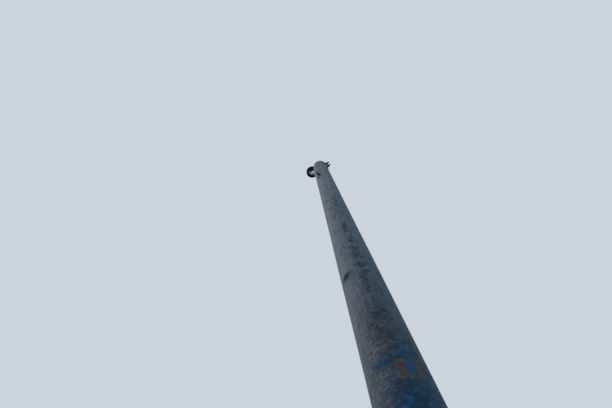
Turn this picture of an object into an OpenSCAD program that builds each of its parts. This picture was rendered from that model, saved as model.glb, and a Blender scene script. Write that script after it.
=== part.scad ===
// Wooden utility pole with a pole-top pin insulator and a lower spool insulator.
// The origin is the centre of the shaft at the ground line, +Z is up, and +X points away from
// the pole-top pin.
// Drops are measured down from the top of the pole, and turns are degrees about the pole's axis.

/* [Pole] */
// Height of the pole above the ground
pole_h = 7500; // [6000:50:12000]
// Diameter of the pole at the ground line
ground_d = 230; // [200:1:320]
// Diameter of the pole at its top
top_d = 160; // [140:1:190]
// Width of the worn edge round the top
top_edge = 6; // [2:1:12]
// Width of a drying check where it is widest
check_w = 8; // [3:0.5:14]
// Depth of a drying check where it is deepest
check_depth = 34; // [10:1:50]

/* [Pole-top pin] */
// Turn of the pole-top pin and its bolts away from the X axis
bracket_turn = -3; // [-12:1:12]
// Drop of the upper bracket bolt
upper_bolt_drop = 76; // [62:1:110]
// Distance between the two bracket bolts
bolt_spacing = 203; // [150:1:300]
// Steel below the lower bracket bolt
strap_tail = 38; // [28:1:70]
// Width of the forged strap
strap_w = 44; // [36:1:56]
// Thickness of the forged strap
strap_t = 9; // [6:0.5:12]
// Steel between the upper bolt's head and the bend
strap_shoulder = 6; // [3:1:12]
// Height of the bend that carries the strap out to the pin
bend_h = 66; // [50:1:80]
// Distance from the wood to the axis of the pin
pin_standoff = 34; // [28:1:44]
// Height of the pin's tip above the top of the pole
pin_rise = 120; // [110:1:200]
// Diameter of the pin below the insulator
pin_d = 28; // [24:1:32]
// Diameter of the steel core inside the thread sleeve
pin_core_d = 18; // [14:1:20]
// Diameter of the thread sleeve at its tip
sleeve_tip_d = 25.4; // [24:0.2:28]
// Length of the thread sleeve
sleeve_l = 45; // [38:1:50]

/* [Pin insulator] */
// Diameter of the skirt
bell_d = 140; // [130:1:170]
// Height of the insulator
bell_h = 111; // [106:1:125]
// Diameter of the head above the side groove
head_d = 74; // [70:1:84]
// Diameter of the neck in the side groove
neck_d = 56; // [50:1:60]
// Radius of the side and top grooves
wire_groove_r = 13; // [10:0.5:14]
// Height of the side groove above the skirt
side_groove_h = 75; // [72:1:78]
// Depth of the top groove
top_groove_depth = 16; // [12:1:18]
// Thickness of the skirt at its rim
rim_t = 10; // [8:0.5:12]
// Diameter of the petticoat round the pin hole
petticoat_d = 76; // [72:1:84]
// Height of the petticoat's rim above the skirt
petticoat_lift = 12; // [6:1:16]

/* [Through bolts] */
// Diameter of every bolt
bolt_d = 16; // [12:0.5:20]
// Diameter of the bolt holes in wood and steel
bolt_hole_d = 17.5; // [17:0.5:22]
// Width across a square bolt head
head_w = 24; // [22:1:30]
// Thickness of a square bolt head
head_t = 10.5; // [8:0.5:14]
// Width across a square nut
nut_w = 26; // [24:1:32]
// Thickness of a square nut
nut_t = 14; // [10:0.5:18]
// Thickness of a locknut
locknut_t = 7; // [4:0.5:10]
// Bolt end that shows past the locknut
bolt_end = 20; // [8:1:60]
// Width of a curved square washer
washer_w = 57; // [50:1:76]
// Thickness of a curved square washer
washer_t = 5; // [3:0.5:7]

/* [Neutral spool] */
// Drop of the neutral bolt
neutral_drop = 970; // [600:10:1500]
// Turn of the neutral bolt away from the Y axis
neutral_turn = -11; // [-20:1:20]
// Diameter of the collar that is forged on the neutral bolt
collar_d = 36; // [30:1:44]
// Thickness of the forged collar
collar_t = 8; // [6:0.5:12]
// Diameter of the spool
spool_d = 79; // [72:1:90]
// Length of the spool
spool_l = 76; // [70:1:90]
// Diameter of the spool in its groove
spool_neck_d = 45; // [40:1:50]
// Radius of the spool's groove
spool_groove_r = 15; // [11:0.5:15]
// Radius of the spool's rounded edges
spool_edge = 4; // [2:0.5:6]
// Diameter of the keeper washer
keeper_d = 38; // [34:1:46]
// Thickness of the keeper washer
keeper_t = 3; // [2:0.5:5]
// Diameter of the cotter pin
cotter_d = 5; // [4:0.5:6]
// Length of the cotter pin's legs past the bolt
cotter_leg = 14; // [10:1:22]

/* [Hidden] */
$fn = 96;

// Small gap between pieces that seat on each other's round faces
seat = 0.2;
// Bevel at the end of a bolt
bolt_bevel = 2;
// Overlap that lets a cut run clear of a face
cut = 1;

lower_bolt_drop = upper_bolt_drop + bolt_spacing;
strap_bottom_drop = lower_bolt_drop + strap_tail;
strap_top_drop = upper_bolt_drop - head_w / 2 - strap_shoulder;
pin_x = -(top_d / 2 + pin_standoff);
// The thread sleeve stops short of the end of the pin hole
pin_hole_gap = 3;
pin_hole_top = bell_h - top_groove_depth - 19;
bell_z = pole_h + pin_rise + pin_hole_gap - pin_hole_top;
sleeve_base_d = sleeve_tip_d + sleeve_l / 16;

// Drying checks as turn, and the heights of both ends as shares of the pole's height
CHECKS = [
  [-67, 0.46, 0.633],
  [38, 0.48, 0.992],
  [171, 0.056, 0.44]
];

// Radius of the shaft at a height above the ground
function pole_r(z) = ground_d / 2 + (top_d - ground_d) / 2 * z / pole_h;

// A point at a distance and an angle from the origin
function polar(r, a) = [r * cos(a), r * sin(a)];

// Points of an arc about c, from angle a to angle b
function arc(c, r, a, b, n) = [for (i = [0:n]) c + polar(r, a + (b - a) * i / n)];

// Points of a corner at b that is rounded to r, on the way from a to c
function rounded_corner(a, b, c, r, n) =
  let (
    u = (a - b) / norm(a - b),
    v = (c - b) / norm(c - b),
    half = acos(u * v) / 2,
    centre = b + (u + v) / norm(u + v) * r / sin(half),
    start = b + u * r / tan(half) - centre,
    end = b + v * r / tan(half) - centre,
    from = atan2(start.y, start.x),
    turn = atan2(end.y, end.x) - from
  )
  arc(centre, r, from, from + turn - 360 * round(turn / 360), n);

// Places a child on the pole's axis, with +X towards the nuts of the bracket bolts
module at_bracket(drop) {
  translate([0, 0, pole_h - drop])
    rotate([0, 0, bracket_turn])
      children();
}

// Places a child on the pole's axis, with +X towards the nut of the neutral bolt
module at_neutral() {
  translate([0, 0, pole_h - neutral_drop])
    rotate([0, 0, -90 + neutral_turn])
      children();
}

// Lays a child that stands on the XY plane along +X, from a distance x from the axis
module along_x(x) {
  translate([x, 0, 0])
    rotate([0, 90, 0])
      children();
}

// A drying check: a split that is widest halfway and closes to a line at both ends
module drying_check(turn, low, high) {
  mid = (low + high) / 2;
  out = 2;
  rotate([0, 0, turn])
    polyhedron(
      points = [
        [pole_r(low) + out, 0, low],
        [pole_r(high) + out, 0, high],
        [pole_r(mid) + out, check_w / 2, mid],
        [pole_r(mid) + out, -check_w / 2, mid],
        [pole_r(mid) - check_depth, 0, mid]
      ],
      faces = [[0, 3, 2], [1, 2, 3], [0, 2, 4], [1, 4, 2], [0, 4, 3], [1, 3, 4]]
    );
}

module pole_shaft() {
  edge_z = pole_h - top_edge;
  color("#6f7478")
    difference() {
      rotate_extrude()
        polygon([
          [0, 0],
          [ground_d / 2, 0],
          [pole_r(edge_z), edge_z],
          [top_d / 2 - top_edge, pole_h],
          [0, pole_h]
        ]);
      for (c = CHECKS)
        drying_check(c[0], c[1] * pole_h, c[2] * pole_h);
      for (drop = [upper_bolt_drop, lower_bolt_drop])
        at_bracket(drop)
          along_x(-ground_d)
            cylinder(h = 2 * ground_d, d = bolt_hole_d);
      at_neutral()
        along_x(-ground_d)
          cylinder(h = 2 * ground_d, d = bolt_hole_d);
    }
}

// A shell of thickness t round the log, with its wall a small gap from the wood
module log_shell(t) {
  difference() {
    cylinder(h = pole_h, r1 = ground_d / 2 + seat + t, r2 = top_d / 2 + seat + t);
    translate([0, 0, -cut])
      cylinder(h = pole_h + 2 * cut,
        r1 = pole_r(-cut) + seat,
        r2 = pole_r(pole_h + cut) + seat);
  }
}

// Distance from the pole's axis to the outside of a shell of thickness t, for a square block of
// width w that is centred at height z
function shell_face(z, w, t) = pole_r(z - w / 2) + seat + t;

// The strap that is curved to the log, on the -X side, with its lower end rounded
module pin_strap() {
  intersection() {
    translate([0, 0, -pole_h])
      log_shell(strap_t);
    translate([-ground_d, 0, 0])
      rotate([90, 0, 90])
        linear_extrude(height = ground_d) {
          translate([-strap_w / 2, strap_w / 2 - strap_bottom_drop])
            square([strap_w, strap_bottom_drop - strap_w / 2 - strap_top_drop]);
          translate([0, strap_w / 2 - strap_bottom_drop])
            circle(d = strap_w);
        }
  }
}

// Outline of a bar of thickness t and width w with its corners rounded to r. Its points are
// spread over the whole width, so that it can be bent to the log.
function bar_outline(t, w, r) = [
  for (i = [0:31])
    let (
      a = (i + 0.5) * 360 / 32,
      y = -w / 2 * cos(a),
      in_corner = max(0, abs(y) - (w / 2 - r))
    )
    [(t / 2 - r + sqrt(pow(r, 2) - pow(in_corner, 2))) * sign(sin(a)), y]
];

// The bend: a loft from the curved section of the strap, out from the wood, to the round pin.
// It starts inside the strap and ends inside the pin, and is a little smaller than both there.
module pin_bend() {
  lap = 2;
  step = 1;
  strap_edge = 2;
  low = -strap_top_drop - lap;
  high = bend_h - strap_top_drop + lap;
  rings = 14;
  strap_r = shell_face(pole_h - strap_top_drop, 0, strap_t / 2);
  round_d = pin_d - step;
  sections = [
    for (i = [0:rings])
      let (swing = (1 - cos(180 * i / rings)) / 2)
      [
        for (p = bar_outline(
          strap_t - step + (round_d - strap_t + step) * swing,
          strap_w - step + (round_d - strap_w + step) * swing,
          strap_edge + (round_d / 2 - strap_edge) * swing
        ))
          let (bow = strap_r - sqrt(pow(strap_r, 2) - pow(p.y, 2)))
          [
            (pin_x + strap_r) * swing - strap_r + p.x + bow * (1 - swing),
            p.y,
            low + (high - low) * i / rings
          ]
      ]
  ];
  n = len(sections[0]);
  top = rings * n;
  polyhedron(
    points = [for (section = sections) each section],
    faces = [
      for (j = [0:n / 2 - 2])
        each [
          [j, j + 1, n - 2 - j, n - 1 - j],
          [top + n - 1 - j, top + n - 2 - j, top + j + 1, top + j]
        ],
      for (i = [0:rings - 1], j = [0:n - 1])
        each [
          [i * n + j, (i + 1) * n + j, (i + 1) * n + (j + 1) % n],
          [i * n + j, (i + 1) * n + (j + 1) % n, i * n + (j + 1) % n]
        ]
    ]
  );
}

module pole_top_pin() {
  pin_low = bend_h - strap_top_drop;
  sleeve_z = pin_rise - sleeve_l;
  color("#9aa0a3")
    at_bracket(0)
      difference() {
        union() {
          pin_strap();
          pin_bend();
          translate([pin_x, 0, pin_low])
            cylinder(h = sleeve_z - pin_low, d = pin_d);
          translate([pin_x, 0, sleeve_z])
            cylinder(h = sleeve_l - 4, d = pin_core_d);
        }
        for (drop = [upper_bolt_drop, lower_bolt_drop])
          translate([0, 0, -drop])
            along_x(-ground_d)
              cylinder(h = ground_d, d = bolt_hole_d);
      }
}

module pin_thread_sleeve() {
  color("#8d8f8e")
    at_bracket(-(pin_rise - sleeve_l))
      translate([pin_x, 0, 0])
        difference() {
          cylinder(h = sleeve_l, d1 = sleeve_base_d, d2 = sleeve_tip_d);
          translate([0, 0, -cut])
            cylinder(h = sleeve_l - 4 + seat + cut, d = pin_core_d + 2 * seat);
        }
}

// Half section of the bell insulator, from the rim up the outside and down the inside
function bell_section() =
  let (
    rim_r = rim_t / 2,
    rim_in = -110,
    rim_out = 10,
    shoulder_r = 22,
    shoulder = [bell_d / 2 - shoulder_r, 16],
    groove = [neck_d / 2 + wire_groove_r, side_groove_h],
    groove_turn = 55,
    lip_r = 4,
    lip_flat = 3,
    lip_out = 10,
    lip_from_groove = wire_groove_r + lip_r,
    lip = groove + polar(lip_from_groove, 180 + groove_turn) + polar(lip_flat, groove_turn - 90),
    foot = lip + [6, -10],
    foot_r = 15,
    foot_way = foot - shoulder,
    shoulder_end = atan2(foot_way.y, foot_way.x) - acos(shoulder_r / norm(foot_way)),
    head_r = head_d / 2,
    head_edge = 8,
    head_dome = 1,
    chin = groove + polar(lip_from_groove, 180 - groove_turn),
    chin_flat = max(0, (head_r - lip_r - chin.x) / cos(90 - groove_turn)),
    coat_t = 10,
    coat_r = petticoat_d / 2,
    coat_low = petticoat_lift + coat_t / 2,
    bay_r = 8,
    bay_top = side_groove_h - 32.5,
    bay_out = 50,
    hole_tip = sleeve_tip_d / 2 + seat,
    hole_base = sleeve_base_d / 2 + 2 * seat,
    hole_low = pin_hole_top - sleeve_l - pin_hole_gap,
    hole_flare = 5
  )
  concat(
    arc([bell_d / 2 - rim_r, rim_r], rim_r, rim_in, rim_out, 8),
    arc(shoulder, shoulder_r, 0, shoulder_end, 8),
    rounded_corner(
      shoulder + polar(shoulder_r, shoulder_end), foot, lip + polar(lip_r, lip_out), foot_r, 6
    ),
    arc(lip, lip_r, lip_out, groove_turn, 5),
    arc(groove, wire_groove_r, 180 + groove_turn, 180 - groove_turn, 14),
    arc(chin + polar(chin_flat, 90 - groove_turn), lip_r, -groove_turn, 0, 5),
    arc([head_r - head_edge, bell_h - head_edge - head_dome], head_edge, 0, 80, 8),
    [[0, bell_h], [0, pin_hole_top], [hole_tip, pin_hole_top], [hole_base, hole_low]],
    [[hole_base + hole_flare, hole_low - hole_flare]],
    arc([coat_r - coat_t / 2, coat_low], coat_t / 2, 180, 360, 10),
    arc([coat_r + bay_r, bay_top - bay_r], bay_r, 180, bay_out, 8),
    [[bell_d / 2 - rim_t, rim_t]]
  );

module pin_insulator() {
  groove_z = bell_h - top_groove_depth + wire_groove_r;
  color("#2a1c18")
    at_bracket(pole_h - bell_z)
      translate([pin_x, 0, 0])
        difference() {
          rotate_extrude()
            polygon(bell_section());
          translate([-head_d, 0, groove_z])
            rotate([0, 90, 0])
              cylinder(h = 2 * head_d, r = wire_groove_r);
          translate([-head_d, -wire_groove_r, groove_z])
            cube([2 * head_d, 2 * wire_groove_r, bell_h]);
        }
}

// A square block whose outer corners are chamfered by a cone, bored when bore is over 0
module square_block(w, t, bore) {
  face_r = 0.48 * w;
  difference() {
    intersection() {
      translate([-w / 2, -w / 2, 0])
        cube([w, w, t]);
      cylinder(h = t, r1 = face_r + t * sqrt(3), r2 = face_r);
    }
    if (bore > 0)
      translate([0, 0, -cut])
        cylinder(h = t + 2 * cut, d = bore);
  }
}

module bolt_nut(t) {
  square_block(nut_w, t, bolt_d + 2 * seat);
}

// A square washer bent round the log, on the +X side, for a bolt at height z
module curved_washer(z) {
  intersection() {
    difference() {
      translate([0, 0, -z])
        log_shell(washer_t);
      along_x(0)
        cylinder(h = ground_d, d = bolt_hole_d);
    }
    translate([0, -washer_w / 2, -washer_w / 2])
      cube([ground_d, washer_w, washer_w]);
  }
}

// Distance from the pole's axis to the outside of a curved washer at height z
function washer_face(z) = shell_face(z, nut_w, washer_t);

// Shank of a bolt from x = low to x = high, with a bevel at each end
module bolt_shank(low, high) {
  l = high - low;
  along_x(low)
    rotate_extrude()
      polygon([
        [0, 0],
        [bolt_d / 2 - bolt_bevel, 0],
        [bolt_d / 2, bolt_bevel],
        [bolt_d / 2, l - bolt_bevel],
        [bolt_d / 2 - bolt_bevel, l],
        [0, l]
      ]);
}

// Machine bolt with a square head outside x = head_x and its end outside the nuts at height z
module machine_bolt(head_x, z) {
  bolt_shank(head_x - head_t / 2, washer_face(z) + nut_t + locknut_t + bolt_end);
  translate([head_x, 0, 0])
    rotate([0, -90, 0])
      square_block(head_w, head_t, 0);
}

module bracket_bolt(drop) {
  color("#85898b")
    at_bracket(drop)
      machine_bolt(-shell_face(pole_h - drop, head_w, strap_t), pole_h - drop);
}

module bracket_washer(drop) {
  color("#7d8183")
    at_bracket(drop)
      curved_washer(pole_h - drop);
}

module bracket_nut(drop) {
  color("#85898b")
    at_bracket(drop)
      along_x(washer_face(pole_h - drop))
        bolt_nut(nut_t);
}

module bracket_locknut(drop) {
  color("#7d8183")
    at_bracket(drop)
      along_x(washer_face(pole_h - drop) + nut_t)
        bolt_nut(locknut_t);
}

// Distances from the pole's axis along the neutral bolt on the spool's side
neutral_z = pole_h - neutral_drop;
collar_x = washer_face(neutral_z) + collar_t;
spool_end_x = collar_x + spool_l;
keeper_x = spool_end_x + keeper_t;
cotter_x = keeper_x + cotter_d / 2 + 0.3;

module neutral_bolt() {
  nut_end = washer_face(neutral_z) + nut_t + locknut_t + bolt_end;
  spool_tip = cotter_x + 10;
  color("#85898b")
    at_neutral()
      difference() {
        union() {
          bolt_shank(-spool_tip, nut_end);
          along_x(-collar_x)
            cylinder(h = collar_t, d = collar_d);
        }
        translate([-cotter_x, 0, -bolt_d])
          cylinder(h = 2 * bolt_d, d = cotter_d + 2 * seat);
      }
}

module neutral_nut_side_washer() {
  color("#7d8183")
    at_neutral()
      curved_washer(neutral_z);
}

module neutral_nut() {
  color("#85898b")
    at_neutral()
      along_x(washer_face(neutral_z))
        bolt_nut(nut_t);
}

module neutral_locknut() {
  color("#7d8183")
    at_neutral()
      along_x(washer_face(neutral_z) + nut_t)
        bolt_nut(locknut_t);
}

module neutral_spool_side_washer() {
  color("#7d8183")
    at_neutral()
      rotate([0, 0, 180])
        curved_washer(neutral_z);
}

// Half section of the spool, from one end of its hole round the outside to the other
function spool_section() =
  let (
    r = spool_d / 2,
    e = spool_edge,
    hole = bolt_d / 2 + 0.8,
    mid = spool_l / 2,
    lean = 2,
    wall = 10,
    mouth = 60,
    groove = [spool_neck_d / 2 + spool_groove_r, mid],
    groove_turn = 70
  )
  concat(
    [[hole, 0]],
    arc([r - e - lean, e], e, -90, -wall, 6),
    arc([r - e, mid - spool_groove_r - e], e, -wall, mouth, 6),
    arc(groove, spool_groove_r, 180 + groove_turn, 180 - groove_turn, 16),
    arc([r - e, mid + spool_groove_r + e], e, -mouth, wall, 6),
    arc([r - e - lean, spool_l - e], e, wall, 90, 6),
    [[hole, spool_l]]
  );

module spool_insulator() {
  color("#3a241c")
    at_neutral()
      along_x(-spool_end_x)
        rotate_extrude()
          polygon(spool_section());
}

module spool_keeper_washer() {
  color("#7d8183")
    at_neutral()
      along_x(-keeper_x)
        difference() {
          cylinder(h = keeper_t, d = keeper_d);
          translate([0, 0, -cut])
            cylinder(h = keeper_t + 2 * cut, d = bolt_d + 2 * seat);
        }
}

// Split pin: an eye above the bolt and two legs that open below it
module spool_cotter_pin() {
  eye_r = cotter_d * 0.9;
  top = bolt_d / 2 + 1;
  color("#8f9496")
    at_neutral()
      translate([-cotter_x, 0, 0]) {
        translate([0, 0, -top])
          cylinder(h = 2 * top, d = cotter_d);
        translate([0, 0, top + eye_r])
          rotate([0, 90, 0])
            rotate_extrude()
              translate([eye_r, 0])
                circle(d = cotter_d * 0.6);
        for (s = [-1, 1])
          translate([0, 0, -top + 0.5])
            rotate([s * 32, 0, 0])
              translate([0, 0, -cotter_leg])
                cylinder(h = cotter_leg, d = cotter_d * 0.6);
      }
}

pole_shaft();
pole_top_pin();
pin_thread_sleeve();
pin_insulator();
bracket_bolt(upper_bolt_drop);  // upper_bracket_bolt
bracket_washer(upper_bolt_drop);  // upper_bracket_washer
bracket_nut(upper_bolt_drop);  // upper_bracket_nut
bracket_locknut(upper_bolt_drop);  // upper_bracket_locknut
bracket_bolt(lower_bolt_drop);  // lower_bracket_bolt
bracket_washer(lower_bolt_drop);  // lower_bracket_washer
bracket_nut(lower_bolt_drop);  // lower_bracket_nut
bracket_locknut(lower_bolt_drop);  // lower_bracket_locknut
neutral_bolt();
neutral_nut_side_washer();
neutral_nut();
neutral_locknut();
neutral_spool_side_washer();
spool_insulator();
spool_keeper_washer();
spool_cotter_pin();
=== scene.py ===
"""Looks of a wooden utility pole: weathered log, galvanised hardware and glazed insulators.

Lengths are metres and turns are degrees about the pole's axis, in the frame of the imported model: +Z is
up from the ground line and +X points away from the pole-top pin. A turn marked "from the viewer" is
counted from the side of the pole that faces the camera, and grows towards the right of the picture.
"""

import math

import bmesh
import bpy
from mathutils import Matrix, Vector


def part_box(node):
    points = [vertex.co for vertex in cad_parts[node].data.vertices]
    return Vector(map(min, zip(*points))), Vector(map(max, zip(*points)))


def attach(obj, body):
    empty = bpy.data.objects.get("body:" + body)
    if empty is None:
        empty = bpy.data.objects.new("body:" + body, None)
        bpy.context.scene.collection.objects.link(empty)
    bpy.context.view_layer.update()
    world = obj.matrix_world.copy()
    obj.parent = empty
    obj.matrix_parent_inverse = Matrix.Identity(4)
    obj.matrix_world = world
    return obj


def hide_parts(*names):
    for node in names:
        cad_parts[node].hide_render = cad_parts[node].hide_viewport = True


# Camera, from the perspective of the shaft in the photograph
PHOTO_WIDTH = 612
FOCAL_PIXELS = 496
SENSOR_WIDTH = 36.0
EYE = Vector((0.2037, -0.9077, 1.5801))
EYE_HEADING = 26.32
EYE_TILT = 77.296
EYE_ROLL = -6.799
VIEWER_TURN = math.degrees(math.atan2(EYE.y, EYE.x))

# Bearings of the bolts whose threaded ends stand out past their locknuts
THREADED_BOLTS = {
    "upper_bracket": -3.0,
    "lower_bracket": -3.0,
    "neutral": -101.0,
}
BOLT_RADIUS = 0.008
BOLT_BEVEL = 0.002
THREAD_PITCH = 0.002
THREAD_RIDGE = 0.0004

# The log, its grid, and how far its surface and its sawn top are sunk
TOP_RADIUS = 0.080
TOP_EDGE = 0.006
LOG_COLUMNS = 184
LOG_ROWS = 512
CHECK_DEPTH = 0.03
FLUTE_DEPTH = 0.0011
DENT_DEPTH = 0.0022
END_GRAIN_DEPTH = 0.003

# How high or deep the fine relief of each finish is drawn
GRAIN_RELIEF = 0.0002
STREAK_RELIEF = 0.0006
BLOTCH_DEPTH = 0.0007
HAIR_DEPTH = 0.0016
CROSS_MARK_DEPTH = 0.0005
PAINT_RELIEF = 0.0001
YEAR_RELIEF = 0.00015
END_CRACK_DEPTH = 0.003
PIT_RELIEF = 0.00025
RUST_RELIEF = 0.0002
SPANGLE_DEPTH = 0.00002
BLOOM_RELIEF = 0.0001
LEAD_SCUFF_DEPTH = 0.00012
RIPPLE_RELIEF = 0.00020
DUST_RELIEF = 0.00004

# How far the grain wanders to either side in all, in radians, slowly and more quickly
WANDER = 0.12
WEAVE = 0.05

# Thickness of a year's growth, which the rings on the sawn top show
YEAR_RING = 0.0046

# Drying checks as turn, lower end and upper end above the ground, and half width
CHECKS = [
    (-67.0, 3.45, 4.75, 0.0011),
    (38.0, 3.60, 7.44, 0.0035),
    (171.0, 0.42, 3.30, 0.0040),
]

# The unglazed part of the bell's petticoat, pale on one side as a painted highlight: its turn from the
# viewer, its outer radius with a blurred edge, and the heights above the bell's lowest edge between which
# it ends
BARE_RIM_HIGHLIGHT_TURN = -108.0
BARE_RIM_RADIUS = 0.040
BARE_RIM_BLUR = 0.006
BARE_RIM_LOW = 0.018
BARE_RIM_HIGH = 0.026

# Knots as turn from the viewer, drop below the top, half width and half length
KNOTS = [
    (-36.0, 3.790, 0.031, 0.037),
    (14.0, 2.331, 0.009, 0.014),
    (-21.0, 2.464, 0.010, 0.016),
    (-27.0, 2.203, 0.009, 0.014),
    (96.0, 1.70, 0.014, 0.022),
    (128.0, 4.55, 0.019, 0.030),
    (196.0, 3.05, 0.016, 0.026),
    (231.0, 5.60, 0.020, 0.032),
    (-80.0, 5.10, 0.017, 0.028),
    (160.0, 6.40, 0.019, 0.030),
]

# Dark weather stains as turn from the viewer, drop, half width, half length and strength
STAINS = [
    (11.0, 2.50, 0.026, 0.420, 0.41),
    (10.0, 3.20, 0.030, 0.420, 0.48),
    (12.0, 3.78, 0.034, 0.340, 0.54),
    (12.0, 2.48, 0.015, 0.090, 0.50),
    (11.0, 2.76, 0.016, 0.070, 0.58),
    (9.0, 2.96, 0.017, 0.060, 0.66),
    (9.0, 3.16, 0.019, 0.055, 0.70),
    (9.0, 3.34, 0.024, 0.045, 0.74),
    (14.0, 3.49, 0.026, 0.032, 0.84),
    (10.0, 3.60, 0.024, 0.028, 0.78),
    (10.0, 3.73, 0.028, 0.034, 1.00),
    (12.0, 3.90, 0.026, 0.056, 0.90),
    (18.0, 4.04, 0.026, 0.070, 0.62),
    (13.0, 4.24, 0.032, 0.080, 0.80),
    (20.0, 4.12, 0.055, 0.300, 0.34),
    (2.0, 4.42, 0.034, 0.110, 0.66),
    (30.0, 4.46, 0.060, 0.130, 0.40),
    (-12.0, 2.65, 0.026, 0.220, 0.40),
    (-12.0, 0.40, 0.034, 0.060, 0.40),
    (-23.7, 1.04, 0.018, 0.070, 0.50),
    (74.4, 0.15, 0.018, 0.070, 0.45),
    (74.4, 0.36, 0.018, 0.090, 0.50),
    (254.4, 0.38, 0.026, 0.100, 0.50),
    (156.4, 1.06, 0.018, 0.090, 0.50),
    (-42.0, 0.62, 0.030, 0.200, 0.36),
    (-24.0, 1.05, 0.030, 0.160, 0.34),
    (-38.0, 4.24, 0.020, 0.050, 0.40),
    (-30.0, 3.87, 0.040, 0.100, 0.30),
    (-5.0, 4.62, 0.060, 0.050, 0.42),
    (38.0, 4.60, 0.070, 0.085, 0.82),
    (0.0, 4.71, 0.110, 0.030, 0.60),
    (20.0, 4.82, 0.120, 0.180, 0.52),
    (150.0, 3.20, 0.060, 0.900, 0.42),
    (-140.0, 5.00, 0.050, 0.800, 0.38),
    (110.0, 6.70, 0.070, 0.500, 0.42),
]

# Rusty and reddish marks, as the stains are given
RUST_MARKS = [
    (-28.0, 2.15, 0.010, 0.110, 0.80),
    (-25.0, 2.36, 0.008, 0.060, 0.45),
    (-22.0, 0.22, 0.030, 0.060, 0.40),
    (-23.7, 1.10, 0.010, 0.110, 0.50),
    (74.4, 0.19, 0.012, 0.090, 0.60),
    (74.4, 0.42, 0.012, 0.130, 0.65),
    (254.4, 0.45, 0.016, 0.120, 0.55),
    (156.4, 1.12, 0.012, 0.130, 0.60),
    (-60.0, 4.05, 0.022, 0.300, 0.34),
    (-57.0, 3.52, 0.014, 0.060, 0.46),
    (-52.0, 2.95, 0.012, 0.090, 0.44),
    (-50.0, 3.95, 0.016, 0.050, 0.42),
]

# Where the surface is broken by short cross marks, as the stains are given
CROSS_MARKS = [
    (4.0, 4.38, 0.050, 0.240, 0.76),
    (15.0, 4.80, 0.090, 0.180, 0.62),
    (-30.0, 4.40, 0.050, 0.350, 0.40),
    (170.0, 4.90, 0.090, 0.600, 0.45),
]

# Old blue paint, as the stains are given
BLUE_PAINT = [
    (-11.0, 4.570, 0.056, 0.030, 0.82),
    (24.0, 4.99, 0.120, 0.320, 1.00),
    (32.0, 4.535, 0.054, 0.044, 0.70),
]

# Boxes on the side, as turn from the viewer, drop, half width and half height
OCHRE_BLOCK = (25.0, 4.637, 0.037, 0.050)
BLUE_UPRIGHT = (25.0, 4.637, 0.014, 0.039)
RUBBED_BAND = (40.0, 4.637, 0.014, 0.039)
THIN_DARK_LINE = (20.0, 0.31, 0.070, 0.004)

# Sides of the log, as turn from the viewer and two levels of squareness between which they fade in; the
# lee, shade and far left sides carry painted shade, the weather side painted light and the warm side
# painted warm light
SIDES = {
    "crown": (27.0, 0.76, 1.0),
    "lee": (70.0, -0.12, 0.62),
    "shade": (76.0, 0.36, 1.0),
    "warm": (-55.0, 0.30, 0.95),
    "weather": (-70.0, 0.60, 0.98),
    "far left": (-90.0, 0.78, 1.0),
}

# Stretches of the log, as two drops below the top between which they fade in; the last two carry painted
# shade
STRETCHES = {
    "below the crown": (1.2, 2.4),
    "below the bleached wood": (1.6, 3.6),
    "scuffed": (2.4, 4.2),
    "low_shade": (3.2, 4.85),
    "shaded_band": (4.45, 4.75),
}

# Noise on the log, as length across the grain, length along it, seed, detail and roughness; the end
# cracks are counted round the heart, and the uneven years in years
NOISES = {
    "flutes": (0.022, 0.55, 0.0, 3.0, 0.55),
    "dents": (0.16, 0.9, 4.0, 1.0, 0.5),
    "wander": (1.0, 1.1, 11.0, 2.0, 0.5),
    "weave": (1.0, 0.17, 12.0, 3.0, 0.5),
    "ragged checks": (1.0, 0.14, 0.0, 4.0, 0.7),
    "hair checks": (0.009, 0.42, 9.0, 2.0, 0.5),
    "end grain": (0.012, 0.012, 0.0, 3.0, 0.5),
    "end cracks": (0.62, 0.62, 13.0, 2.0, 0.5),
    "uneven years": (1.0, 2.6, 14.0, 2.0, 0.5),
}

# Patterns in the wood, as length across the grain, length along it, the two levels of noise between
# which they fade in, seed and detail
PATTERNS = {
    "grain": (0.0024, 0.12, 0.34, 0.66, 1.0, 2.0),
    "streaks": (0.012, 0.55, 0.38, 0.62, 2.0, 2.0),
    "broad tone": (0.070, 0.40, 0.36, 0.64, 3.0, 2.0),
    "blotches": (0.015, 0.020, 0.38, 0.64, 4.0, 3.0),
    "specks": (0.0055, 0.0080, 0.38, 0.64, 5.0, 2.0),
    "warm drifts": (0.050, 0.24, 0.50, 0.70, 6.0, 2.0),
    "dashes": (0.016, 0.0060, 0.40, 0.66, 7.0, 2.0),
    "rust runs": (0.0035, 0.090, 0.36, 0.64, 8.0, 2.0),
    "hair clusters": (0.060, 0.25, 0.52, 0.66, 10.0, 2.0),
    "wear": (0.022, 0.028, 0.36, 0.66, 11.0, 2.0),
    "bright paint": (0.030, 0.024, 0.44, 0.62, 15.0, 2.0),
    "bleaching": (0.034, 0.26, 0.44, 0.64, 16.0, 2.0),
    "grey drops": (0.021, 0.11, 0.46, 0.62, 17.0, 2.0),
    "warm drops": (0.020, 0.070, 0.50, 0.66, 18.0, 2.0),
    "pale scuffs": (0.044, 0.0044, 0.58, 0.74, 19.0, 2.0),
    "dark scuffs": (0.060, 0.0085, 0.54, 0.68, 20.0, 2.0),
    "paint strokes": (0.034, 0.011, 0.48, 0.62, 22.0, 2.0),
    "tatters": (0.032, 0.052, 0.40, 0.60, 23.0, 2.0),
    "pale drops": (0.017, 0.055, 0.50, 0.66, 24.0, 2.0),
    "dark drops": (0.032, 0.075, 0.48, 0.62, 25.0, 2.0),
    "paint spots": (0.014, 0.018, 0.60, 0.70, 26.0, 2.0),
    "scuff clusters": (0.110, 0.260, 0.46, 0.62, 27.0, 2.0),
    "warm scuffs": (0.022, 0.013, 0.52, 0.66, 28.0, 2.0),
}

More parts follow.
